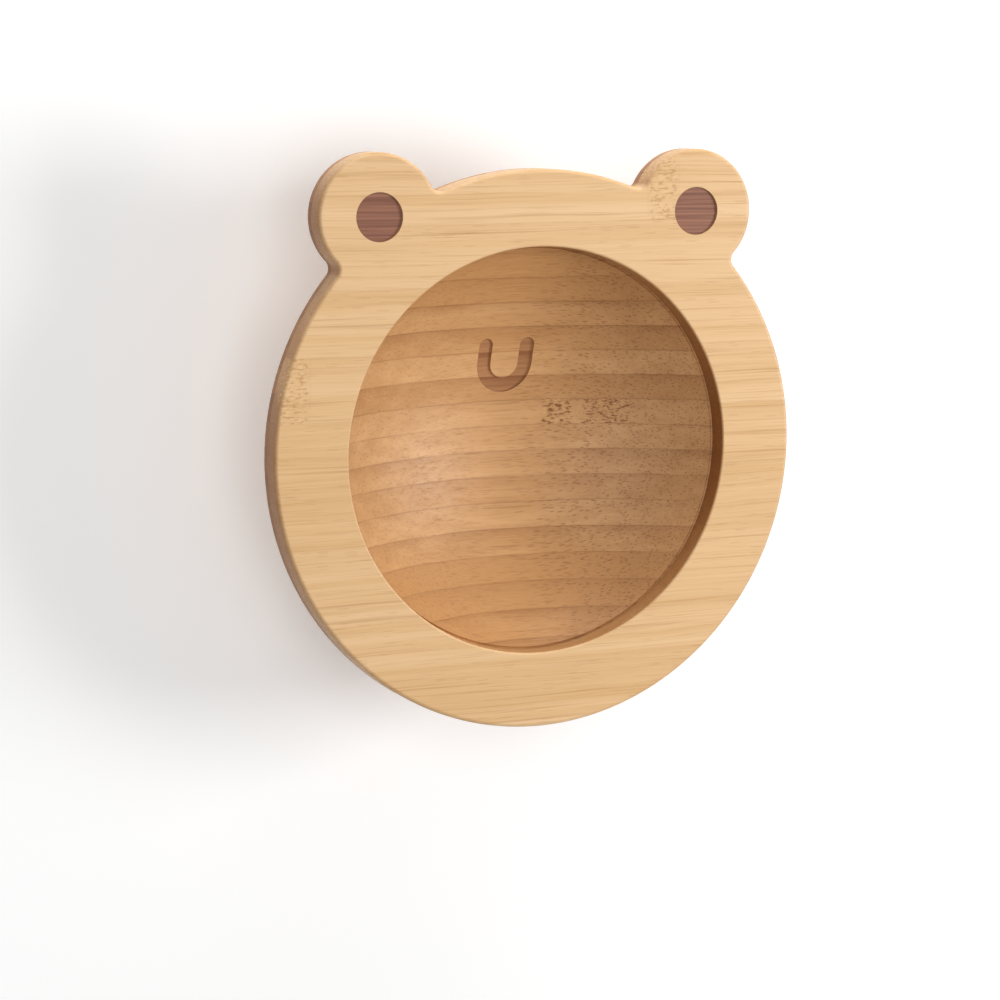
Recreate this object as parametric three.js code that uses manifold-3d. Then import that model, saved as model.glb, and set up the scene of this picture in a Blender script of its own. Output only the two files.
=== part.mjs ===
// Suction bowl for a small child: a bamboo bowl with a flat rim board cut to an animal's head with
// two round ears, and a soft silicone suction base that pulls off the turned foot.
// Millimetres, +Z up, standing on the lip of the suction base. +Y points to the ears, +X to the
// right of the face. The origin is on the table, under the middle of the rim board's outline.
import * as THREE from 'three';
import { mergeVertices } from 'three/addons/utils/BufferGeometryUtils.js';
import Module from 'manifold-3d';

const wasm = await Module();
wasm.setup();

// ---- driving dimensions ----

// Clearances
const jointGap = 0.3; // between two pieces that touch

// Rim board: two glued plies with one outline, a head with two ears
const headRadius = 87.5;
const earRadius = 19.4;
const earAngle = 54.1; // degrees from the +X side round to the right ear
const earStandOff = 3.5; // how far an ear's centre is outside the head's edge
const valleyRadius = 3.2; // inside rounding where an ear meets the head
const facePlyThickness = 7;
const backingPlyThickness = 4.7;
const faceRounding = 1.3; // top outer edge of the board
const backRounding = 2.6; // bottom outer edge of the board

// Hollow: a straight wall through the face ply, then a round dish
const hollowRadius = 63.7;
const hollowDepth = 33;
const hollowLipRounding = 0.7;
const dishStep = 0.8; // the dish starts this much inside the straight wall

// Engraved face
const engravingDepth = 0.6;
const eyeRadius = 7.5;
const smileWidth = 14.2; // between the middles of the two arms
const smileStroke = 4.7;
const smileY = 25.1; // centre of the smile's lower arc
const smileArm = 5.9; // straight length of each arm

// Bowl block and its foot
const dishWall = 8;
const footRadius = 42;
const footBelowDish = 14; // from the bottom of the dish to the bottom of the foot
const footCove = 4; // rounding between the foot and the outside of the bowl
const footChamfer = 1;
const footReveal = 2.8; // bamboo left showing between the collar and the cove

// Suction base: a collar and web that hold the foot, a flared skirt and a release tab
const collarWall = 3;
const webThickness = 2.5;
const chamberHeight = 10; // from the table to the underside of the web
const collarDownstand = 3.5; // how far the collar reaches below the web, inside the skirt
const skirtWall = 2.4;
const skirtLap = 3.5; // how far the skirt stands up around the collar, above the web's underside
const flareDrop = 4.5; // from the web's underside to where the skirt starts to flare
const lipFlare = 5; // how far the lip stands out past the skirt's neck
const lipThickness = 1.5;
const lipLand = 1.4; // width of the flat ring that the lip rests on
const tabWidth = 23;
const tabLength = 21; // from its hinge line to its tip
const tabThickness = 2.6;
const tabLift = 0.5; // gap between the tab and the table
const tabRoot = 4.5; // from the lip's edge to the hinge line
const tabRibs = 3;
const tabRibHeight = 0.8;
const tabRibPitch = 4;

// Facet sizes
const arcStep = 4; // longest facet along the arcs of the rim board
const turnSteps = 64; // facets around a turned piece
const dishSteps = 10;
const flareSteps = 5;
const roundSteps = 2; // facets across a rounded edge

// ---- ear centres, from the bowl's axis ----

const earDistance = headRadius + earStandOff;
const earDirection = THREE.MathUtils.degToRad(earAngle);
const earX = earDistance * Math.cos(earDirection);
const earY = earDistance * Math.sin(earDirection);

// ---- heights, from the table up ----

const webTop = chamberHeight + webThickness;
const footBottom = webTop + jointGap;
const dishBottom = footBottom + footBelowDish;
const faceHeight = dishBottom + hollowDepth;
const facePlyBottom = faceHeight - facePlyThickness;
const backingPlyTop = facePlyBottom - jointGap;
const backingPlyBottom = backingPlyTop - backingPlyThickness;
const blockTop = backingPlyBottom - jointGap;

// ---- the dish's sphere ----

const dishEdgeRadius = hollowRadius - dishStep;
const dishRise = facePlyBottom - dishBottom; // height of the dish below the straight wall
const dishSphere = (dishEdgeRadius ** 2 + dishRise ** 2) / (2 * dishRise);
const dishCentreHeight = dishBottom + dishSphere;

// ---- the bowl's outside, a sphere around the same centre ----

const outerSphere = dishSphere + dishWall;
const footTop = dishCentreHeight - Math.sqrt(outerSphere ** 2 - footRadius ** 2);
const coveBottom = footTop - footCove;

// ---- suction base ----

const collarInner = footRadius + jointGap;
const collarOuter = collarInner + collarWall;
const skirtInner = collarOuter + jointGap;
const skirtNeck = skirtInner + skirtWall;
const lipRadius = skirtNeck + lipFlare;
const hingeY = lipRadius + tabRoot;
const hingeHeight = tabLift + tabThickness / 2;
const collarTop = coveBottom - footReveal;

// ---- helpers ----

function point(x, y) {
  return new THREE.Vector2(x, y);
}

// Points along an arc, from one angle to another, both ends included.
function arc(centre, radius, from, to, longest = arcStep) {
  const steps = Math.max(roundSteps, Math.round((Math.abs(to - from) * radius) / longest));
  return Array.from({ length: steps + 1 }, (_, i) => {
    const angle = from + ((to - from) * i) / steps;
    return point(centre.x + radius * Math.cos(angle), centre.y + radius * Math.sin(angle));
  });
}

function toSolid(geometry) {
  const plain = geometry.clone();
  plain.deleteAttribute('normal');
  plain.deleteAttribute('uv');
  const merged = mergeVertices(plain, 1e-4);
  return new wasm.Manifold(new wasm.Mesh({
    numProp: 3,
    vertProperties: merged.attributes.position.array,
    triVerts: Uint32Array.from(merged.index.array),
  }));
}

function toGeometry(solid) {
  const mesh = solid.getMesh();
  const geometry = new THREE.BufferGeometry();
  geometry.setAttribute('position', new THREE.BufferAttribute(mesh.vertProperties, 3));
  geometry.setIndex(new THREE.BufferAttribute(mesh.triVerts, 1));
  geometry.computeVertexNormals();
  return geometry;
}

// A profile of (radius, height) points turned about the Z axis.
function turned(profile) {
  return new THREE.LatheGeometry(profile, turnSteps).rotateX(Math.PI / 2);
}

// A flat outline raised from one height to another, square-edged.
function prism(outline, low, high) {
  const shape = new THREE.Shape(outline);
  return new THREE.ExtrudeGeometry(shape, { depth: high - low, bevelEnabled: false })
    .translate(0, 0, low);
}

// The same with both long edges rounded.
function roundedPrism(outline, low, high, rounding) {
  const shape = new THREE.Shape(outline);
  return new THREE.ExtrudeGeometry(shape, {
    depth: high - low - 2 * rounding,
    bevelThickness: rounding,
    bevelSize: rounding,
    bevelOffset: -rounding,
    bevelSegments: roundSteps,
  }).translate(0, 0, low + rounding);
}

// A block that covers the whole outline between two heights.
function slab(low, high) {
  const span = 2 * (earY + earRadius + headRadius);
  return toSolid(new THREE.BoxGeometry(span, span, high - low).translate(0, 0, (low + high) / 2));
}

// ---- rim board ----

// Where the rounding of an ear's valley is centred: it touches the head and the ear.
function valleyAngles() {
  const fromHead = headRadius + valleyRadius;
  const fromEar = earRadius + valleyRadius;
  const spread = Math.acos(
    (fromHead ** 2 + earDistance ** 2 - fromEar ** 2) / (2 * fromHead * earDistance));
  return { outer: earDirection - spread, inner: earDirection + spread };
}

// One half of the outline, from the chin up the right side to the top of the head.
function rightHalfOutline() {
  const { outer, inner } = valleyAngles();
  const head = point(0, 0);
  const ear = point(earX, earY);
  const valley = (angle) => point(Math.cos(angle), Math.sin(angle))
    .multiplyScalar(headRadius + valleyRadius);
  const outerValley = valley(outer);
  const innerValley = valley(inner);
  const toEar = (from) => Math.atan2(ear.y - from.y, ear.x - from.x);
  const earStart = toEar(outerValley) - Math.PI;
  const earEnd = toEar(innerValley) + Math.PI;
  return [
    ...arc(head, headRadius, -Math.PI / 2, outer),
    ...arc(outerValley, valleyRadius, outer + Math.PI, toEar(outerValley), 1).slice(1),
    ...arc(ear, earRadius, earStart, earEnd, arcStep / 2).slice(1),
    ...arc(innerValley, valleyRadius, toEar(innerValley) + 2 * Math.PI, inner + Math.PI, 1).slice(1),
    ...arc(head, headRadius, inner, Math.PI / 2).slice(1),
  ];
}

function headOutline() {
  const right = rightHalfOutline();
  const left = right.slice(1, -1).reverse().map((p) => point(-p.x, p.y));
  return [...right, ...left];
}

// The space inside the bowl, open at the top, as a solid to cut away. With a depth it is sunk
// that much below the dish, for the engraving.
function hollow(sunk = 0) {
  const above = faceHeight + 5;
  const sphere = dishSphere + sunk;
  const edge = Math.asin(dishEdgeRadius / dishSphere);
  const dish = arc(point(0, dishCentreHeight), sphere, -Math.PI / 2, edge - Math.PI / 2,
    (sphere * edge) / dishSteps);
  dish[0].x = 0;
  const lip = point(hollowRadius + hollowLipRounding, faceHeight - hollowLipRounding);
  return toSolid(turned([
    ...dish,
    point(hollowRadius, facePlyBottom),
    ...arc(lip, hollowLipRounding, Math.PI, Math.PI / 2, hollowLipRounding / 2),
    point(lip.x, above),
    point(0, above),
  ]));
}

function eye(side) {
  return toSolid(new THREE.CylinderGeometry(eyeRadius, eyeRadius, 2 * engravingDepth, turnSteps / 2)
    .rotateX(Math.PI / 2)
    .translate(side * earX, earY, faceHeight));
}

function facePly() {
  const board = toSolid(roundedPrism(headOutline(), backingPlyBottom, faceHeight, faceRounding));
  return toGeometry(board
    .intersect(slab(facePlyBottom, faceHeight + 1))
    .subtract(hollow())
    .subtract(eye(-1))
    .subtract(eye(1)));
}

function backingPly() {
  const board = toSolid(roundedPrism(headOutline(), backingPlyBottom, faceHeight, backRounding));
  return toGeometry(board
    .intersect(slab(backingPlyBottom - 1, backingPlyTop))
    .subtract(hollow()));
}

// ---- bowl block ----

function smileOutline() {
  const centre = point(0, smileY);
  const outer = smileWidth / 2 + smileStroke / 2;
  const inner = smileWidth / 2 - smileStroke / 2;
  const armEnd = (side) => point((side * smileWidth) / 2, smileY + smileArm);
  return [
    ...arc(centre, outer, -Math.PI, 0, 1.5),
    ...arc(armEnd(1), smileStroke / 2, 0, Math.PI, 1),
    ...arc(centre, inner, 0, -Math.PI, 1.5),
    ...arc(armEnd(-1), smileStroke / 2, 0, Math.PI, 1),
  ];
}

function bowlBlock() {
  const angleAt = (radius) => Math.asin(radius / outerSphere) - Math.PI / 2;
  const topRadius = Math.sqrt(outerSphere ** 2 - (dishCentreHeight - blockTop) ** 2);
  const shell = arc(point(0, dishCentreHeight), outerSphere, angleAt(footRadius + footCove),
    angleAt(topRadius));
  const cove = new THREE.QuadraticBezierCurve(
    point(footRadius, coveBottom), point(footRadius, footTop), shell[0]);
  const block = toSolid(turned([
    point(0, footBottom),
    point(footRadius - footChamfer, footBottom),
    point(footRadius, footBottom + footChamfer),
    ...cove.getPoints(roundSteps + 1),
    ...shell.slice(1),
    point(0, blockTop),
  ]));
  const smile = toSolid(prism(smileOutline(), dishBottom - engravingDepth, faceHeight))
    .intersect(hollow(engravingDepth));
  return toGeometry(block.subtract(hollow()).subtract(smile));
}

// ---- suction base ----

function suctionCollar() {
  const round = collarWall / 2;
  return turned([
    point(0, chamberHeight),
    point(collarInner, chamberHeight),
    point(collarInner, chamberHeight - collarDownstand),
    point(collarOuter, chamberHeight - collarDownstand),
    ...arc(point(collarOuter - round, collarTop - round), round, 0, Math.PI, 1),
    point(collarInner, webTop),
    point(0, webTop),
  ]);
}

function suctionSkirt() {
  const neckTop = chamberHeight + skirtLap;
  const flareTop = chamberHeight - flareDrop;
  const outside = new THREE.QuadraticBezierCurve(
    point(lipRadius, lipThickness), point(skirtNeck, lipThickness), point(skirtNeck, flareTop));
  const inside = new THREE.QuadraticBezierCurve(
    point(skirtInner, flareTop), point(skirtInner, 0), point(lipRadius - lipLand, 0));
  const ring = toSolid(turned([
    ...inside.getPoints(flareSteps),
    point(lipRadius, 0),
    ...outside.getPoints(flareSteps),
    point(skirtNeck, neckTop),
    point(skirtInner, neckTop),
    point(skirtInner, flareTop),
  ]));
  // The stub that carries the tab starts inside the lip, right out to its own corners.
  const stubStart = Math.sqrt(lipRadius ** 2 - (tabWidth / 2) ** 2) - lipLand / 2;
  const stubEnd = hingeY - tabThickness / 2 - jointGap;
  const stub = toSolid(new THREE.BoxGeometry(tabWidth, stubEnd - stubStart, tabThickness)
    .translate(0, (stubEnd + stubStart) / 2, hingeHeight));
  return toGeometry(ring.add(stub));
}

// The tab seen from the side, from its round root along to its blunt tip, ribs on top.
function tabSide() {
  const half = tabThickness / 2;
  const tip = hingeY + tabLength;
  const ribAt = (i) => tip - tabRibPitch * (i + 1);
  const ribs = Array.from({ length: tabRibs }, (_, i) => (
    arc(point(ribAt(i), hingeHeight + half), tabRibHeight, 0, Math.PI, 0.7)));
  return [
    ...arc(point(hingeY, hingeHeight), half, Math.PI / 2, (3 * Math.PI) / 2, 0.7),
    ...arc(point(tip - half, hingeHeight), half, -Math.PI / 2, Math.PI / 2, 0.7),
    ...ribs.flat(),
  ];
}

function tabPlan() {
  const half = tabWidth / 2;
  const tipCentre = point(0, hingeY + tabLength - half);
  const back = hingeY - tabThickness;
  return [point(-half, back), point(half, back), ...arc(tipCentre, half, 0, Math.PI, 2)];
}

function releaseTab() {
  const side = new THREE.ExtrudeGeometry(new THREE.Shape(tabSide()),
    { depth: tabWidth, bevelEnabled: false });
  // Extruded along Z, then stood up: the outline's x becomes Y, its y becomes Z, its depth X.
  side.applyMatrix4(new THREE.Matrix4().makeBasis(
    new THREE.Vector3(0, 1, 0), new THREE.Vector3(0, 0, 1), new THREE.Vector3(1, 0, 0)));
  side.translate(-tabWidth / 2, 0, 0);
  const plan = toSolid(prism(tabPlan(), 0, hingeHeight + tabThickness));
  return toGeometry(toSolid(side).intersect(plan));
}

// ---- the assembly ----

const faceBamboo = new THREE.MeshStandardMaterial({ color: 0xe0bb8c, roughness: 0.55, metalness: 0 });
const edgeBamboo = new THREE.MeshStandardMaterial({ color: 0xb98f66, roughness: 0.6, metalness: 0 });
const dishBamboo = new THREE.MeshStandardMaterial({ color: 0xbe915f, roughness: 0.55, metalness: 0 });
const silicone = new THREE.MeshStandardMaterial({ color: 0x7c908e, roughness: 0.45, metalness: 0 });

function named(name, geometry, material) {
  const mesh = new THREE.Mesh(geometry, material);
  mesh.name = name;
  return mesh;
}

const suctionBase = new THREE.Group();
suctionBase.add(
  named('suction_collar', suctionCollar(), silicone),
  named('suction_skirt', suctionSkirt(), silicone),
  named('release_tab', releaseTab(), silicone),
);

const bowl = new THREE.Group();
bowl.add(
  named('face_ply', facePly(), faceBamboo),
  named('backing_ply', backingPly(), edgeBamboo),
  named('bowl_block', bowlBlock(), dishBamboo),
);

// The bowl's axis stands behind the origin, because the ears reach further than the chin.
const suctionBowl = new THREE.Group();
suctionBowl.position.y = -(earY + earRadius - headRadius) / 2;
suctionBowl.add(bowl, suctionBase);

export default suctionBowl;
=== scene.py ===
import bpy
import math
from mathutils import Matrix, Vector


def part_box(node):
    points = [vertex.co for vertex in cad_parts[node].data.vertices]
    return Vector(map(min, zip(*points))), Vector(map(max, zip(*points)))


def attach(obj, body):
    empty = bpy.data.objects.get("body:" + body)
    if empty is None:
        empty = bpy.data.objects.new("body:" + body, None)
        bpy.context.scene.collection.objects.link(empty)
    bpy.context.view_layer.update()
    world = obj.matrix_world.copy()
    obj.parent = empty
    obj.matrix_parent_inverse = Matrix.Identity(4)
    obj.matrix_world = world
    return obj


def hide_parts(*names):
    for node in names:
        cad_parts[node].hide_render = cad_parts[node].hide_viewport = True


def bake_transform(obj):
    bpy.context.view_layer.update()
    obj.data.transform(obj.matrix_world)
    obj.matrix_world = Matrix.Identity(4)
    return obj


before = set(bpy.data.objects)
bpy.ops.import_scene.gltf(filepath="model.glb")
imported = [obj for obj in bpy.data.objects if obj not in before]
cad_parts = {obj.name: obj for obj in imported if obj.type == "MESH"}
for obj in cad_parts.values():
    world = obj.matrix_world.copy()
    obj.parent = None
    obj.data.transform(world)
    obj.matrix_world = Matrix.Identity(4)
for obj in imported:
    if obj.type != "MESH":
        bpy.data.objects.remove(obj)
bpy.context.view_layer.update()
print("frame loaded:", len(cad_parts), "CAD nodes")

mm = 0.001

# The bowl's shape, shared by the three bamboo pieces, in millimetres and degrees
bowlShape = {
    "headRadius": 87.5,
    "earRadius": 19.4,
    "earAngle": 54.1,
    "earStandOff": 3.5,
    "valleyRadius": 3.2,
    "hollowRadius": 63.7,
    "lipRounding": 0.7,
    "dishStep": 0.8,
    "dishDepth": 33.0,
    "dishWall": 8.0,
    "facePly": 7.0,
    "glueLine": 0.01,
    "eyeRadius": 7.5,
    "smileRadius": 7.1,  # to the middle of the stroke
    "smileStroke": 4.7,
    "smileY": 25.1,
    "smileArm": 5.9,
    "engraving": 0.6,
}

# Heights and the bowl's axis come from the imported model
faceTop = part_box("face_ply")[1].z / mm
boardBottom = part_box("backing_ply")[0].z / mm
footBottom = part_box("bowl_block")[0].z / mm
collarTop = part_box("suction_collar")[1].z / mm
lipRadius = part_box("suction_skirt")[1].x / mm
axisY = (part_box("bowl_block")[0].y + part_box("bowl_block")[1].y) / 2 / mm
plyJoint = faceTop - bowlShape["facePly"]
dishBottom = faceTop - bowlShape["dishDepth"]
dishEdge = bowlShape["hollowRadius"] - bowlShape["dishStep"]
dishRise = plyJoint - dishBottom
dishSphere = (dishEdge ** 2 + dishRise ** 2) / (2 * dishRise)
dishCentre = dishBottom + dishSphere
earDistance = bowlShape["headRadius"] + bowlShape["earStandOff"]
earX = earDistance * math.cos(math.radians(bowlShape["earAngle"]))
earY = earDistance * math.sin(math.radians(bowlShape["earAngle"]))


# Modelling helpers. Places are in millimetres from the bowl's axis.

def deselectAll():
    if bpy.context.mode != "OBJECT":
        bpy.ops.object.mode_set(mode="OBJECT")
    bpy.ops.object.select_all(action="DESELECT")


def makeActive(piece):
    deselectAll()
    piece.select_set(True)
    bpy.context.view_layer.objects.active = piece


def at(x, y, z):
    return Vector((x * mm, (y + axisY) * mm, z * mm))


def startPoint(name, x, y, z):
    deselectAll()
    bpy.ops.mesh.primitive_plane_add(size=mm, location=at(x, y, z))
    piece = bpy.context.object
    piece.name = name
    bpy.ops.object.transform_apply(location=True, rotation=True, scale=True)
    bpy.ops.object.mode_set(mode="EDIT")
    bpy.ops.mesh.select_mode(type="VERT")
    bpy.ops.mesh.select_all(action="SELECT")
    bpy.ops.mesh.merge(type="CENTER")
    return piece


def lineBy(x, y, z):
    step = {"value": (x * mm, y * mm, z * mm)}
    bpy.ops.mesh.extrude_vertices_move(TRANSFORM_OT_translate=step)


def sweepArc(centre, degrees, steps):
    # the operator turns clockwise about +Z, so the axis is given upside down
    bpy.ops.mesh.spin(steps=steps, angle=math.radians(degrees), center=at(*centre), axis=(0, 0, -1))


def cleanShell():
    bpy.ops.mesh.select_all(action="SELECT")
    bpy.ops.mesh.remove_doubles(threshold=0.002 * mm)
    bpy.ops.mesh.dissolve_degenerate(threshold=0.0005 * mm)
    bpy.ops.mesh.select_all(action="SELECT")
    bpy.ops.mesh.normals_make_consistent(inside=False)


def turnSection(name, section, steps):
    # section: (radius, height) points, drawn one by one and spun about the bowl's axis
    piece = startPoint(name, section[0][0], 0, section[0][1])
    for here, there in zip(section, section[1:]):
        lineBy(there[0] - here[0], 0, there[1] - here[1])
    bpy.ops.mesh.select_all(action="SELECT")
    bpy.ops.mesh.spin(steps=steps, angle=math.tau, center=at(0, 0, 0), axis=(0, 0, 1))
    cleanShell()
    bpy.ops.object.mode_set(mode="OBJECT")
    return piece


def arcPoints(centre, radius, start, end, steps):
    found = []
    for i in range(steps + 1):
        angle = math.radians(start + (end - start) * i / steps)
        found.append((centre[0] + radius * math.cos(angle), centre[1] + radius * math.sin(angle)))
    return found


def curvePoints(a, b, c, d, steps):
    found = []
    for i in range(steps + 1):
        t = i / steps
        weights = ((1 - t) ** 3, 3 * t * (1 - t) ** 2, 3 * t * t * (1 - t), t ** 3)
        found.append(tuple(sum(w * p[k] for w, p in zip(weights, (a, b, c, d))) for k in (0, 1)))
    return found


def applyModifier(piece, kind, **settings):
    makeActive(piece)
    bpy.ops.object.modifier_add(type=kind)
    added = piece.modifiers[-1]
    for name, value in settings.items():
        setattr(added, name, value)
    bpy.ops.object.modifier_apply(modifier=added.name)


def cutWith(piece, cutter, operation="DIFFERENCE"):
    applyModifier(piece, "BOOLEAN", object=cutter, operation=operation, solver="EXACT")
    bpy.data.objects.remove(cutter)


def selectEdges(piece, wanted):
    bpy.ops.object.mode_set(mode="EDIT")
    bpy.ops.mesh.select_mode(type="EDGE")
    bpy.ops.mesh.select_all(action="DESELECT")
    bpy.ops.object.mode_set(mode="OBJECT")
    points = piece.data.vertices
    for edge in piece.data.edges:
        ends = [points[i].co / mm - Vector((0, axisY, 0)) for i in edge.vertices]
        edge.select = all(wanted(end) for end in ends)
    bpy.ops.object.mode_set(mode="EDIT")


def smoothShade(piece, degrees=28):
    makeActive(piece)
    bpy.ops.object.shade_smooth_by_angle(angle=math.radians(degrees))
    applyModifier(piece, "WEIGHTED_NORMAL", keep_sharp=True, weight=50)


def triangleCount(piece):
    return sum(len(face.vertices) - 2 for face in piece.data.polygons)


# The rim board: an outline of arcs, mirrored, filled and pulled down

def towards(here, there):
    return math.degrees(math.atan2(there[1] - here[1], there[0] - here[0]))


def onCircle(radius, degrees):
    return (radius * math.cos(math.radians(degrees)), radius * math.sin(math.radians(degrees)))


def drawHead(name, top, bottom):
    fromHead = bowlShape["headRadius"] + bowlShape["valleyRadius"]
    fromEar = bowlShape["earRadius"] + bowlShape["valleyRadius"]
    cosine = (fromHead ** 2 + earDistance ** 2 - fromEar ** 2) / (2 * fromHead * earDistance)
    spread = math.degrees(math.acos(cosine))
    outer, inner = bowlShape["earAngle"] - spread, bowlShape["earAngle"] + spread
    outerValley, innerValley = onCircle(fromHead, outer), onCircle(fromHead, inner)
    outerTurn = (towards(outerValley, (earX, earY)) - outer - 180) % -360
    earTurn = (towards(innerValley, (earX, earY)) - towards(outerValley, (earX, earY))) % 360
    innerTurn = (inner + 180 - towards(innerValley, (earX, earY))) % -360
    piece = startPoint(name, 0, -bowlShape["headRadius"], top)
    sweepArc((0, 0, top), 90 + outer, 110)
    sweepArc((*outerValley, top), outerTurn, 12)
    sweepArc((earX, earY, top), earTurn, 72)
    sweepArc((*innerValley, top), innerTurn, 12)
    sweepArc((0, 0, top), 90 - inner, 20)
    applyModifier(piece, "MIRROR", use_axis=(True, False, False), merge_threshold=0.01 * mm)
    bpy.ops.object.mode_set(mode="EDIT")
    bpy.ops.mesh.select_all(action="SELECT")
    bpy.ops.mesh.edge_face_add()
    drop = {"value": (0, 0, (bottom - top) * mm)}
    bpy.ops.mesh.extrude_region_move(TRANSFORM_OT_translate=drop)
    cleanShell()
    return piece


def roundEdge(piece, height, rounding, segments=6):
    selectEdges(piece, lambda p: abs(p.z - height) < 0.01)
    bpy.ops.mesh.bevel(offset=rounding * mm, segments=segments, profile=0.5, affect="EDGES")
    bpy.ops.object.mode_set(mode="OBJECT")


def hollowCutter(name="hollowCutter", sunk=0.0):
    sphere = dishSphere + sunk
    edge = math.degrees(math.asin(dishEdge / dishSphere))
    lip = (bowlShape["hollowRadius"] + bowlShape["lipRounding"], faceTop - bowlShape["lipRounding"])
    section = arcPoints((0, dishCentre), sphere, -90, edge - 90, 48)
    # a shallow groove in the corner between dish and wall
    section += [(dishEdge + 0.45, plyJoint - 0.5), (bowlShape["hollowRadius"], plyJoint - 0.25)]
    section += arcPoints(lip, bowlShape["lipRounding"], 180, 90, 5)
    section += [(lip[0], faceTop + 4), (0, faceTop + 4)]
    return turnSection(name, section, 200)


facePlyLook = {
    "edgeRounding": 1.3,
}


def buildFacePly():
    board = drawHead("facePly", faceTop, plyJoint)
    roundEdge(board, faceTop, facePlyLook["edgeRounding"])
    cutWith(board, hollowCutter())
    for side in (-1, 1):
        deselectAll()
        bpy.ops.mesh.primitive_cylinder_add(
            vertices=96, radius=bowlShape["eyeRadius"] * mm, depth=2 * bowlShape["engraving"] * mm,
            location=at(side * earX, earY, faceTop))
        cutWith(board, bpy.context.object)
    smoothShade(board)
    return board


backingPlyLook = {
    "edgeRounding": 2.6,
}


def buildBackingPly():
    top = plyJoint - bowlShape["glueLine"]
    board = drawHead("backingPly", top, boardBottom)
    roundEdge(board, boardBottom, backingPlyLook["edgeRounding"])
    cutWith(board, hollowCutter())
    smoothShade(board)
    return board


# The turned bowl block with its foot and the engraved smile

bowlBlockLook = {
    "footRadius": 42.0,
    "footCove": 4.0,
    "footEdge": 1.0,
}


def drawSmile(name, low, high):
    half = bowlShape["smileStroke"] / 2
    radius = bowlShape["smileRadius"]
    centreY = bowlShape["smileY"]
    piece = startPoint(name, 0, centreY - radius - half, low)
    sweepArc((0, centreY, low), 90, 24)
    lineBy(0, bowlShape["smileArm"], 0)
    sweepArc((radius, centreY + bowlShape["smileArm"], low), 180, 16)
    lineBy(0, -bowlShape["smileArm"], 0)
    sweepArc((0, centreY, low), -90, 20)
    applyModifier(piece, "MIRROR", use_axis=(True, False, False), merge_threshold=0.01 * mm)
    bpy.ops.object.mode_set(mode="EDIT")
    bpy.ops.mesh.select_all(action="SELECT")
    bpy.ops.mesh.edge_face_add()
    rise = {"value": (0, 0, (high - low) * mm)}
    bpy.ops.mesh.extrude_region_move(TRANSFORM_OT_translate=rise)
    cleanShell()
    bpy.ops.object.mode_set(mode="OBJECT")
    return piece


def buildBowlBlock():
    look = bowlBlockLook
    top = boardBottom - bowlShape["glueLine"]
    outside = dishSphere + bowlShape["dishWall"]
    footTop = dishCentre - math.sqrt(outside ** 2 - look["footRadius"] ** 2)
    topTurn = math.degrees(math.acos((dishCentre - top) / dishSphere))
    outerTop = math.degrees(math.acos((dishCentre - top) / outside))
    coveTurn = math.degrees(math.asin((look["footRadius"] + look["footCove"]) / outside))
    shell = arcPoints((0, dishCentre), outside, outerTop - 90, coveTurn - 90, 24)
    cove = curvePoints(
        shell[-1], (look["footRadius"] + 0.3, footTop), (look["footRadius"], footTop - 1.2),
        (look["footRadius"], footTop - look["footCove"]), 8)
    edge = look["footEdge"]
    section = arcPoints((0, dishCentre), dishSphere, -90, topTurn - 90, 56)
    section += shell + cove[1:]
    section += arcPoints((look["footRadius"] - edge, footBottom + edge), edge, 0, -90, 4)
    section += [(0, footBottom)]
    block = turnSection("bowlBlock", section, 200)
    smile = drawSmile("smileCutter", dishBottom - 2, faceTop - 4)
    cutWith(smile, hollowCutter("sunkDish", bowlShape["engraving"]), "INTERSECT")
    cutWith(block, smile)
    smoothShade(block)
    return block


# The silicone suction base: collar, web and flared skirt in one moulding, and its tab

suctionBaseLook = {
    "webTop": 12.6,
    "webBottom": 10.0,
    "gripRadius": 42.08,
    "collarRadius": 45.2,
    "neckRadius": 47.9,
    "shoulder": 13.3,
    "beadRadius": 1.5,
    "grooves": (16.0, 18.0),
    "ridgeRadius": 20.0,
    "lipThickness": 1.2,
    "bendTop": 9.0,  # two heights on the skirt
    "bendBottom": 3.0,
}


def buildSuctionBase():
    look = suctionBaseLook
    grip, collar, neck = look["gripRadius"], look["collarRadius"], look["neckRadius"]
    bead = look["beadRadius"]
    ridge = look["ridgeRadius"]
    bottom = look["webBottom"]
    section = [(0, bottom), (ridge - 1.2, bottom)]
    section += arcPoints((ridge, bottom), 0.9, 180, 360, 8)
    section += [(ridge + 1.2, bottom), (38.5, bottom)]
    section += curvePoints((40.5, bottom), (43.2, bottom), (43.2, 3.4), (lipRadius - 1.5, 0.0), 18)
    section += [(lipRadius - 0.5, 0.0)]
    section += arcPoints((lipRadius - 0.6, look["lipThickness"] / 2), look["lipThickness"] / 2, -80, 80, 6)
    section += curvePoints((lipRadius - 1.6, 1.6), (neck + 1.2, 2.6), (neck, 4.2), (neck, 7.6), 14)
    section += curvePoints((neck, look["shoulder"] - 1.2), (neck, look["shoulder"]),
                           (collar, look["shoulder"] - 0.3), (collar, look["shoulder"] + 1.3), 8)
    for height in look["grooves"]:
        section += arcPoints((collar + 0.25, height), 0.55, 243, 117, 6)
    section += arcPoints((collar - bead, collarTop - bead), bead, 0, 90, 6)
    section += arcPoints((grip + 0.9, collarTop - 0.9), 0.9, 90, 180, 5)
    section += [(grip, look["webTop"] + 0.4), (grip - 0.6, look["webTop"]), (0, look["webTop"])]
    base = turnSection("suctionBase", section, 180)
    smoothShade(base, 50)
    return base


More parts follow.
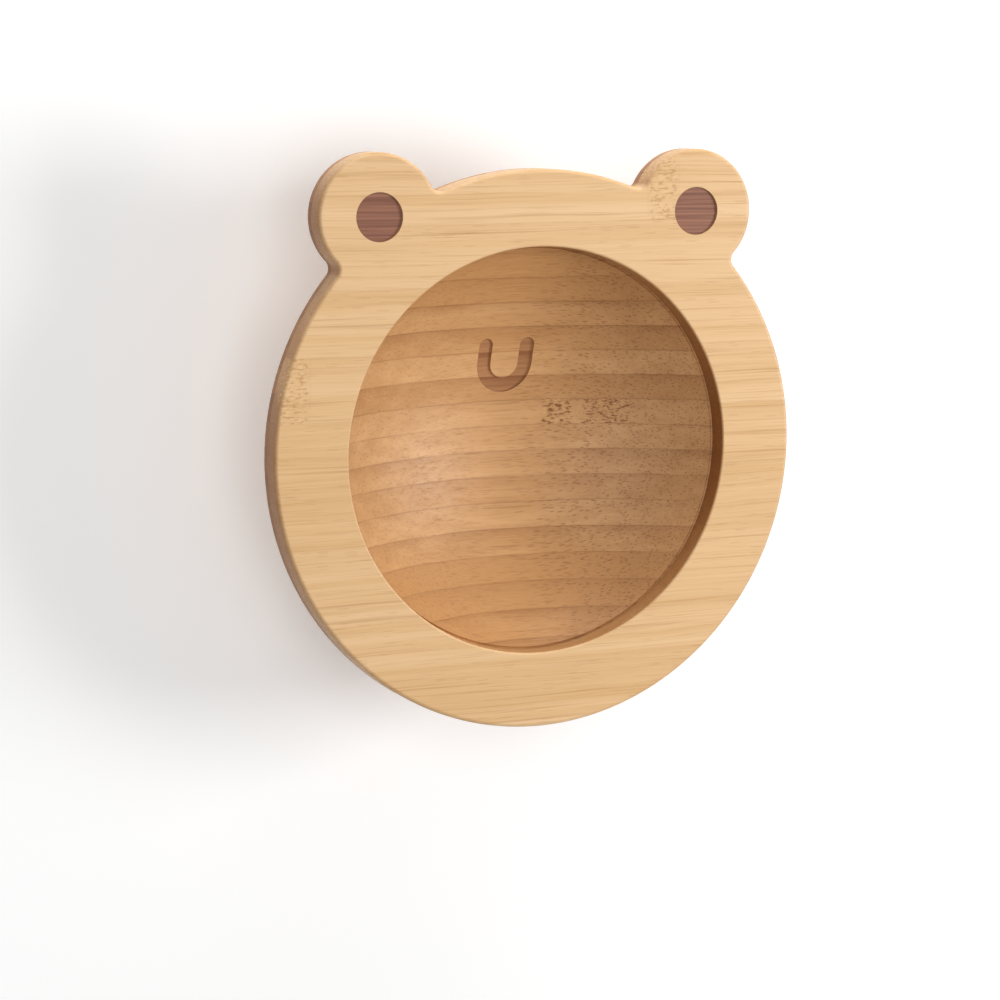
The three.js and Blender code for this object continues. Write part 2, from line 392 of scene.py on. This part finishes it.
tabLook = {
    "rootY": 50.7,
    "rootHalf": 15.0,
    "rootRise": 1.5,
    "filletRadius": 3.6,
    "halfWidth": 11.5,
    "low": 0.5,
    "high": 3.1,
    "edge": 0.9,
    "ribs": 3,
    "ribPitch": 4.0,
    "ribWidth": 1.8,
    "ribHeight": 0.8,
    "ribInset": 2.2,
    "ribEdge": 0.7,
    "bendBefore": 2.5,  # lengths before and after the tab's hinge
    "bendAfter": 3.0,
}


def buildReleaseTab():
    look = tabLook
    tip = (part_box("release_tab")[1].y / mm) - axisY
    half, fillet = look["halfWidth"], look["filletRadius"]
    tab = startPoint("releaseTab", 0, look["rootY"], look["low"])
    lineBy(look["rootHalf"], 0, 0)
    lineBy(half + fillet - look["rootHalf"], look["rootRise"], 0)
    sideStart = look["rootY"] + look["rootRise"] + fillet
    sweepArc((half + fillet, sideStart, look["low"]), -90, 8)
    lineBy(0, tip - half - sideStart, 0)
    sweepArc((0, tip - half, look["low"]), 90, 20)
    applyModifier(tab, "MIRROR", use_axis=(True, False, False), merge_threshold=0.01 * mm)
    bpy.ops.object.mode_set(mode="EDIT")
    bpy.ops.mesh.select_all(action="SELECT")
    bpy.ops.mesh.edge_face_add()
    rise = {"value": (0, 0, (look["high"] - look["low"]) * mm)}
    bpy.ops.mesh.extrude_region_move(TRANSFORM_OT_translate=rise)
    cleanShell()
    for height in (look["low"], look["high"]):
        roundEdge(tab, height, look["edge"], 4)
    for i in range(look["ribs"]):
        fromTip = look["ribPitch"] * (i + 1)
        reach = math.sqrt(half ** 2 - max(0, half - fromTip) ** 2)
        deselectAll()
        bpy.ops.mesh.primitive_cube_add(size=mm, location=at(0, tip - fromTip, look["high"]))
        rib = bpy.context.object
        ribLength = 2 * (reach - look["ribInset"])
        bpy.ops.transform.resize(value=(ribLength, look["ribWidth"], 2 * look["ribHeight"]))
        bpy.ops.object.transform_apply(location=True, rotation=True, scale=True)
        selectEdges(rib, lambda p: True)
        bpy.ops.mesh.bevel(offset=look["ribEdge"] * mm, segments=4, profile=0.5, affect="EDGES")
        bpy.ops.object.mode_set(mode="OBJECT")
        cutWith(tab, rib, "UNION")
    smoothShade(tab, 40)
    return tab


# Node helpers

def put(tree, socket, value):
    if isinstance(value, bpy.types.NodeSocket):
        tree.links.new(value, socket)
    else:
        socket.default_value = value


def addNode(tree, kind, sockets=None, **settings):
    made = tree.nodes.new(kind)
    for name, value in settings.items():
        setattr(made, name, value)
    for name, value in (sockets or {}).items():
        put(tree, made.inputs[name], value)
    return made


def calc(tree, operation, *values):
    made = addNode(tree, "ShaderNodeMath", operation=operation)
    for socket, value in zip(made.inputs, values):
        put(tree, socket, value)
    return made.outputs[0]


def away(tree, across, along):
    squares = [calc(tree, "POWER", value, 2.0) for value in (across, along)]
    return calc(tree, "SQRT", calc(tree, "ADD", *squares))


def fade(tree, value, low, high, start=0.0, end=1.0):
    made = addNode(tree, "ShaderNodeMapRange", interpolation_type="SMOOTHSTEP")
    for socket, number in zip(made.inputs, (value, low, high, start, end)):
        put(tree, socket, number)
    return made.outputs[0]


def mixColour(tree, amount, a, b, blend="MIX"):
    made = addNode(tree, "ShaderNodeMix", data_type="RGBA", blend_type=blend)
    put(tree, made.inputs[0], amount)
    put(tree, made.inputs[6], a)
    put(tree, made.inputs[7], b)
    return made.outputs[2]


def stretched(tree, x, y, z, alongScale, acrossScale):
    made = addNode(tree, "ShaderNodeCombineXYZ")
    for socket, value, scale in zip(made.inputs, (x, y, z), (alongScale, acrossScale, acrossScale)):
        put(tree, socket, calc(tree, "MULTIPLY", value, scale))
    return made.outputs[0]


def noise(tree, vector, detail=2.0, roughness=0.5):
    sockets = {"Vector": vector, "Scale": 1.0, "Detail": detail, "Roughness": roughness}
    return addNode(tree, "ShaderNodeTexNoise", sockets).outputs["Fac"]


def srgb(red, green, blue):
    def straight(value):
        value /= 255
        return value / 12.92 if value <= 0.04045 else ((value + 0.055) / 1.055) ** 2.4
    return (straight(red), straight(green), straight(blue), 1.0)


# Bamboo: strips glued side by side, their fibres all running along X

faceBambooLook = {
    "seed": 3.0,
    "stripWidth": 19.5,
    "stripShift": 7.0,
    "pale": srgb(238, 199, 151),
    "deep": srgb(222, 178, 124),
    "streak": srgb(178, 128, 76),
    "toneSpread": 0.25,
    "outerTone": 0.0,
    "grade": 0.04,
    "gradeSpread": 0.0,
    "streakAmount": 0.55,
    "bundlePitch": 0.9,
    "bundleAmount": 0.14,
    "bundleShare": 0.35,
    "flatShare": 1.0,
    # darkening of the sides facing along X: real end grain, strengthened to be painted shade as well
    "endGrainAndSideShade": 0.95,
    "hollowEndGrainAndSideShade": 0.95,
    "oiledAndShadedTint": (0.44, 0.3, 0.2, 1.0),
    # painted shade tint for the wall of the hole
    "wall": (0.8, 0.72, 0.62, 1.0),
    "seam": 0.1,
    "marks": ((41.5, 4, 5.5), (-81.0, 1, 5.0)),
    "markDashes": 0.5,
    "markLines": 0.06,
    "burnt": srgb(126, 80, 62),
    "burntPale": srgb(170, 118, 92),
    "burntGrade": 0.0,
    "engraved": "eyes",
}
dishBambooLook = {
    "seed": 23.0,
    "stripWidth": 8.15,
    "stripShift": 3.75,
    "pale": srgb(227, 178, 124),
    "deep": srgb(199, 147, 94),
    "streak": srgb(138, 86, 46),
    "toneSpread": 0.45,
    "outerTone": 0.35,
    "grade": 0.06,
    "gradeSpread": 0.3,
    "streakAmount": 0.35,
    "bundlePitch": 0.75,
    "bundleAmount": 0.45,
    "bundleShare": 1.0,
    "flatShare": 0.3,
    # darkening of the slopes and sides facing along X: real end grain, partly painted shade
    "endGrainAndSideShade": 0.4,
    "hollowEndGrainAndSideShade": 0.4,
    "oiledAndShadedTint": (0.44, 0.3, 0.2, 1.0),
    "wall": (1.0, 1.0, 1.0, 1.0),
    "seam": 0.3,
    "marks": ((18.5, 1, 5.5), (34.0, 1, 8.0)),
    "markDashes": 0.9,
    "markLines": 0.0,
    "burnt": srgb(146, 94, 56),
    "burntPale": srgb(182, 130, 86),
    "burntGrade": 0.35,
    "engraved": "smile",
}
backingBambooLook = {
    **dishBambooLook,
    # darkening of the sides facing along X: real end grain, strengthened to be painted shade as well
    "endGrainAndSideShade": 0.95,
    "marks": (),
    "engraved": None,
}


def eyesMask(tree, x, y):
    across = calc(tree, "SUBTRACT", calc(tree, "ABSOLUTE", x), earX)
    along = calc(tree, "SUBTRACT", y, earY)
    return calc(tree, "SUBTRACT", bowlShape["eyeRadius"], away(tree, across, along))


def smileMask(tree, x, y):
    across = calc(tree, "ABSOLUTE", x)
    up = calc(tree, "SUBTRACT", y, bowlShape["smileY"])
    fromCentre = away(tree, across, up)
    fromArc = calc(tree, "ABSOLUTE", calc(tree, "SUBTRACT", fromCentre, bowlShape["smileRadius"]))
    beyond = calc(tree, "MAXIMUM", calc(tree, "SUBTRACT", up, bowlShape["smileArm"]), 0.0)
    beside = calc(tree, "SUBTRACT", across, bowlShape["smileRadius"])
    fromArm = away(tree, beside, beyond)
    above = calc(tree, "GREATER_THAN", up, 0.0)
    nearest = calc(tree, "ADD", calc(tree, "MULTIPLY", above, fromArm),
                   calc(tree, "MULTIPLY", calc(tree, "SUBTRACT", 1.0, above), fromArc))
    return calc(tree, "SUBTRACT", bowlShape["smileStroke"] / 2, nearest)


def bambooFinish(name, look):
    made = bpy.data.materials.new(name)
    made.use_nodes = True
    tree = made.node_tree
    shader = tree.nodes["Principled BSDF"]
    # millimetres from the bowl's axis
    place = addNode(tree, "ShaderNodeMapping")
    points = addNode(tree, "ShaderNodeTexCoord")
    tree.links.new(points.outputs["Object"], place.inputs["Vector"])
    place.inputs["Scale"].default_value = (1 / mm, 1 / mm, 1 / mm)
    place.inputs["Location"].default_value = (0, -axisY, 0)
    split = addNode(tree, "ShaderNodeSeparateXYZ", {"Vector": place.outputs[0]})
    x, y, z = split.outputs
    # fibres wander a little from straight
    sway = noise(tree, stretched(tree, x, y, z, 0.014, 0.05), 1.0)
    wander = calc(tree, "MULTIPLY", calc(tree, "SUBTRACT", sway, 0.5), 3.0)
    swayed = calc(tree, "ADD", y, wander)
    shifted = calc(tree, "MULTIPLY_ADD", wander, 0.15, calc(tree, "ADD", y, look["stripShift"]))
    # which strip, and how far across it
    counted = calc(tree, "DIVIDE", shifted, look["stripWidth"])
    strip = calc(tree, "FLOOR", counted)
    across = calc(tree, "SUBTRACT", counted, strip)
    chance = addNode(tree, "ShaderNodeTexWhiteNoise", {"W": calc(tree, "ADD", strip, look["seed"])},
                     noise_dimensions="1D")
    chances = addNode(tree, "ShaderNodeSeparateColor", {"Color": chance.outputs["Color"]})
    chanceA, chanceB, chanceC = chances.outputs
    fx = calc(tree, "MULTIPLY_ADD", chanceA, 400.0, x)
    fy = calc(tree, "MULTIPLY_ADD", chanceB, 90.0, swayed)
    fz = calc(tree, "MULTIPLY_ADD", chanceC, 60.0, z)
    # broad tone and two sizes of streak
    broad = noise(tree, stretched(tree, fx, fy, fz, 0.004, 0.25), 2.0)
    fine = noise(tree, stretched(tree, fx, fy, fz, 0.014, 1.25), 3.0, 0.6)
    hair = noise(tree, stretched(tree, fx, fy, fz, 0.045, 3.4), 2.0, 0.6)
    # dark bundles: streaks along the fibres, dots where they are cut across
    dense = calc(tree, "POWER", across, 2.5)
    patches = noise(tree, stretched(tree, fx, fy, fz, 0.04, 0.12), 1.0)
    pitch = look["bundlePitch"]
    cells = addNode(tree, "ShaderNodeTexVoronoi", {
        "Vector": stretched(tree, fx, fy, fz, 0.12 / pitch, 1 / pitch), "Scale": 1.0, "Randomness": 0.9})
    picked = addNode(tree, "ShaderNodeSeparateColor", {"Color": cells.outputs["Color"]}).outputs[0]
    share = calc(tree, "MULTIPLY_ADD", patches, 1.3, look["bundleShare"] - 0.95)
    share = calc(tree, "MULTIPLY_ADD", dense, 0.6, share)
    sloped = fade(tree, x, -8.0, 26.0, look["flatShare"], 1.0)
    shown = calc(tree, "MULTIPLY", sloped, fade(tree, calc(tree, "SUBTRACT", share, picked), -0.08, 0.08))
    bundle = calc(tree, "MULTIPLY", shown, fade(tree, cells.outputs["Distance"], 0.36, 0.24))
    # colour, from broad to fine
    spread = look["toneSpread"]
    outer = calc(tree, "GREATER_THAN", calc(tree, "ABSOLUTE", calc(tree, "SUBTRACT", strip, 0.5)), 5.0)
    tone = calc(tree, "MULTIPLY_ADD", broad, 1.0 - spread, calc(tree, "MULTIPLY", chanceC, spread))
    tone = calc(tree, "MULTIPLY_ADD", outer, look["outerTone"], tone)
    colour = mixColour(tree, fade(tree, tone, 0.2, 0.85), look["pale"], look["deep"])
    graded = calc(tree, "MULTIPLY", chanceB, patches)
    graded = calc(tree, "MULTIPLY_ADD", graded, 2.0 * look["gradeSpread"], look["grade"])
    colour = mixColour(tree, calc(tree, "MULTIPLY", dense, graded), colour, look["streak"])
    streaks = calc(tree, "MULTIPLY", fade(tree, fine, 0.5, 0.78), look["streakAmount"])
    colour = mixColour(tree, streaks, colour, look["streak"])
    hairs = calc(tree, "MULTIPLY", fade(tree, hair, 0.52, 0.75), look["streakAmount"] * 0.55)
    colour = mixColour(tree, hairs, colour, look["streak"])
    colour = mixColour(tree, calc(tree, "MULTIPLY", fade(tree, hair, 0.45, 0.28), 0.2), colour, look["pale"])
    colour = mixColour(tree, calc(tree, "MULTIPLY", bundle, look["bundleAmount"]), colour, look["streak"])
    seamReach = 0.5 - 0.25 / look["stripWidth"]
    fromMiddle = calc(tree, "ABSOLUTE", calc(tree, "SUBTRACT", across, 0.5))
    seam = calc(tree, "MULTIPLY", fade(tree, fromMiddle, seamReach - 0.015, seamReach + 0.01),
                calc(tree, "MULTIPLY", fade(tree, patches, 0.3, 0.6), look["seam"]))
    colour = mixColour(tree, seam, colour, look["streak"])
    # fibres cut across drink in more oil; the same darkening is made stronger and is also painted shade on
    # the sides facing along X
    facing = addNode(tree, "ShaderNodeSeparateXYZ", {"Vector": points.outputs["Normal"]}).outputs[0]
    nearAxis = calc(tree, "LESS_THAN", away(tree, x, y), bowlShape["hollowRadius"] + 0.4)
    endGrainAndShadeAmount = calc(tree, "MULTIPLY_ADD", nearAxis, look["hollowEndGrainAndSideShade"] - look["endGrainAndSideShade"], look["endGrainAndSideShade"])
    squarely = calc(tree, "POWER", calc(tree, "ABSOLUTE", facing), 2.0)
    endGrainAndShadeMix = calc(tree, "MULTIPLY", squarely, endGrainAndShadeAmount)
    colour = mixColour(tree, endGrainAndShadeMix, colour, mixColour(tree, 1.0, colour, look["oiledAndShadedTint"], "MULTIPLY"))
    for markX, markStrip, markHalf in look["marks"]:
        colour = culmMark(tree, look, colour, (x, fy, fz), strip, sway, (markX, markStrip, markHalf))
    # painted shade: the wall of the hole, below its rounded lip, is darkened
    within = calc(tree, "MULTIPLY", nearAxis, fade(tree, z, faceTop - 0.3, faceTop - 0.8))
    wallShaded = mixColour(tree, 1.0, colour, look["wall"], "MULTIPLY")
    colour = mixColour(tree, within, colour, wallShaded)
    if look["engraved"]:
        inside = (eyesMask if look["engraved"] == "eyes" else smileMask)(tree, x, y)
        banded = look["burntGrade"]
        patchy = calc(tree, "MULTIPLY_ADD", dense, banded, calc(tree, "MULTIPLY", fine, 1.0 - banded))
        scorched = mixColour(tree, fade(tree, patchy, 0.2, 0.7), look["burntPale"], look["burnt"])
        nearEdge = calc(tree, "MULTIPLY", fade(tree, inside, 0.7, 0.0), 0.3)
        scorched = mixColour(tree, nearEdge, scorched, look["burnt"])
        colour = mixColour(tree, fade(tree, inside, -0.12, 0.15), colour, scorched)
    height = calc(tree, "SUBTRACT", calc(tree, "MULTIPLY", fine, 0.5), calc(tree, "MULTIPLY", bundle, 0.5))
    put(tree, shader.inputs["Base Color"], colour)
    put(tree, shader.inputs["Roughness"], fade(tree, fine, 0.3, 0.8, 0.42, 0.58))
    bump = addNode(tree, "ShaderNodeBump", {"Strength": 0.35, "Distance": 0.12 * mm, "Height": height})
    put(tree, shader.inputs["Normal"], bump.outputs[0])
    shader.inputs["Specular IOR Level"].default_value = 0.35
    return made


def culmMark(tree, look, colour, place, strip, sway, mark):
    # a culm node crossing one strip: short dark and pale dashes, in some strips between two faint lines
    x, y, z = place
    markX, markStrip, markHalf = mark
    here = calc(tree, "COMPARE", strip, float(markStrip), 0.1)
    wavy = calc(tree, "MULTIPLY_ADD", sway, 4.0, x)
    along = calc(tree, "ABSOLUTE", calc(tree, "SUBTRACT", wavy, markX + 2.0))
    zone = calc(tree, "MULTIPLY", here, fade(tree, along, markHalf, markHalf - 1.5))
    mottle = noise(tree, stretched(tree, x, y, z, 0.5, 1.5), 2.0)
    colour = mixColour(tree, calc(tree, "MULTIPLY", zone, 0.3), colour, look["deep"])
    dark = calc(tree, "MULTIPLY", fade(tree, mottle, 0.52, 0.64), look["markDashes"])
    colour = mixColour(tree, calc(tree, "MULTIPLY", zone, dark), colour, look["streak"])
    pale = calc(tree, "MULTIPLY", fade(tree, mottle, 0.42, 0.34), 0.6)
    colour = mixColour(tree, calc(tree, "MULTIPLY", zone, pale), colour, look["pale"])
    line = calc(tree, "MULTIPLY", here, calc(tree, "COMPARE", along, markHalf, 0.3))
    return mixColour(tree, calc(tree, "MULTIPLY", line, look["markLines"]), colour, look["streak"])


siliconeLook = {
    "body": srgb(131, 146, 144),
    "shade": srgb(126, 141, 139),
}


def siliconeFinish(name, look):
    made = bpy.data.materials.new(name)
    made.use_nodes = True
    tree = made.node_tree
    shader = tree.nodes["Principled BSDF"]
    place = addNode(tree, "ShaderNodeMapping")
    tree.links.new(addNode(tree, "ShaderNodeTexCoord").outputs["Object"], place.inputs["Vector"])
    place.inputs["Scale"].default_value = (1 / mm, 1 / mm, 1 / mm)
    cloud = addNode(tree, "ShaderNodeTexNoise", {"Vector": place.outputs[0], "Scale": 0.09, "Detail": 3.0})
    grain = addNode(tree, "ShaderNodeTexNoise", {"Vector": place.outputs[0], "Scale": 3.0, "Detail": 2.0})
    put(tree, shader.inputs["Base Color"],
        mixColour(tree, fade(tree, cloud.outputs["Fac"], 0.35, 0.65), look["body"], look["shade"]))
    put(tree, shader.inputs["Roughness"], fade(tree, cloud.outputs["Fac"], 0.3, 0.7, 0.46, 0.56))
    bump = addNode(tree, "ShaderNodeBump", {
        "Strength": 0.2, "Distance": 0.03 * mm, "Height": grain.outputs["Fac"]})
    put(tree, shader.inputs["Normal"], bump.outputs[0])
    shader.inputs["Subsurface Weight"].default_value = 0.06
    shader.inputs["Subsurface Scale"].default_value = 2 * mm
    shader.inputs["Specular IOR Level"].default_value = 0.4
    return made


def finishPiece(piece, material, nodes):
    piece.data.materials.clear()
    piece.data.materials.append(material)
    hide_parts(*nodes)
    print(piece.name, "done:", triangleCount(piece), "triangles")


# Studio: pale floor, camera, lights

cameraLook = {
    "lens": 101.95,
    "yaw": 23.4,
    "pitch": 8.31,
    "roll": 0.04,
    "distance": 882.0,
    "slide": (-12.91, -15.06),
}


def buildCamera():
    look = cameraLook
    turned = (Matrix.Rotation(math.radians(look["roll"]), 3, "Z")
              @ Matrix.Rotation(math.radians(look["pitch"]), 3, "X")
              @ Matrix.Rotation(math.radians(look["yaw"]), 3, "Y")).transposed()
    place = turned @ Vector((*look["slide"], look["distance"]))
    bpy.ops.object.camera_add(location=at(place.x, place.y, faceTop + place.z), rotation=turned.to_euler())
    camera = bpy.context.object
    camera.data.lens = look["lens"]
    camera.data.sensor_width = 36.0
    camera.data.clip_start = 0.05
    camera.data.clip_end = 20.0
    bpy.context.scene.camera = camera


lightLook = {
    "world": 0.28,
    "table": 0.16,
    "key": {"toward": (0.82, 0.02, 0.57), "distance": 1.1, "size": 0.42, "watts": 8.0},
    "fill": {"toward": (-0.3, 0.1, 0.95), "distance": 1.3, "size": 0.8, "watts": 5.8},
    "top": {"toward": (0.1, 0.99, 0.08), "distance": 1.1, "size": 0.5, "watts": 8.0},
}


def addLight(name, look):
    direction = Vector(look["toward"]).normalized()
    centre = at(0, 0, faceTop - 20)
    place = centre + direction * look["distance"]
    aim = (place - centre).to_track_quat("Z", "Y").to_euler()
    bpy.ops.object.light_add(type="AREA", location=place, rotation=aim)
    light = bpy.context.object
    light.name = name
    light.data.size = look["size"]
    light.data.energy = look["watts"]


def buildStudio():
    deselectAll()
    bpy.ops.mesh.primitive_plane_add(size=6.0, location=(0, 0, -0.0003))
    floor = bpy.context.object
    floor.name = "floor"
    material = bpy.data.materials.new("palePaper")
    material.use_nodes = True
    shader = material.node_tree.nodes["Principled BSDF"]
    shader.inputs["Base Color"].default_value = (0.93, 0.93, 0.93, 1.0)
    shader.inputs["Roughness"].default_value = 0.9
    # a softly glowing light table keeps the shadow pale
    shader.inputs["Emission Color"].default_value = (1.0, 1.0, 1.0, 1.0)
    shader.inputs["Emission Strength"].default_value = lightLook["table"]
    floor.data.materials.append(material)
    buildCamera()
    for name in ("key", "fill", "top"):
        addLight(name, lightLook[name])
    world = bpy.data.worlds.new("studio")
    bpy.context.scene.world = world
    world.use_nodes = True
    world.node_tree.nodes["Background"].inputs["Color"].default_value = (1.0, 1.0, 1.0, 1.0)
    world.node_tree.nodes["Background"].inputs["Strength"].default_value = lightLook["world"]
    bpy.context.scene.view_settings.view_transform = "Standard"


buildStudio()
print("studio ready")

facePly = buildFacePly()
finishPiece(facePly, bambooFinish("faceBamboo", faceBambooLook), ["face_ply"])
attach(facePly, "bowl")

backingPly = buildBackingPly()
finishPiece(backingPly, bambooFinish("backingBamboo", backingBambooLook), ["backing_ply"])
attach(backingPly, "bowl")

bowlBlock = buildBowlBlock()
finishPiece(bowlBlock, bambooFinish("dishBamboo", dishBambooLook), ["bowl_block"])
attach(bowlBlock, "bowl")

silicone = siliconeFinish("silicone", siliconeLook)
suctionBase = buildSuctionBase()
finishPiece(suctionBase, silicone, ["suction_collar", "suction_skirt"])
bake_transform(suctionBase)

releaseTab = buildReleaseTab()
finishPiece(releaseTab, silicone, ["release_tab"])
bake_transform(releaseTab)
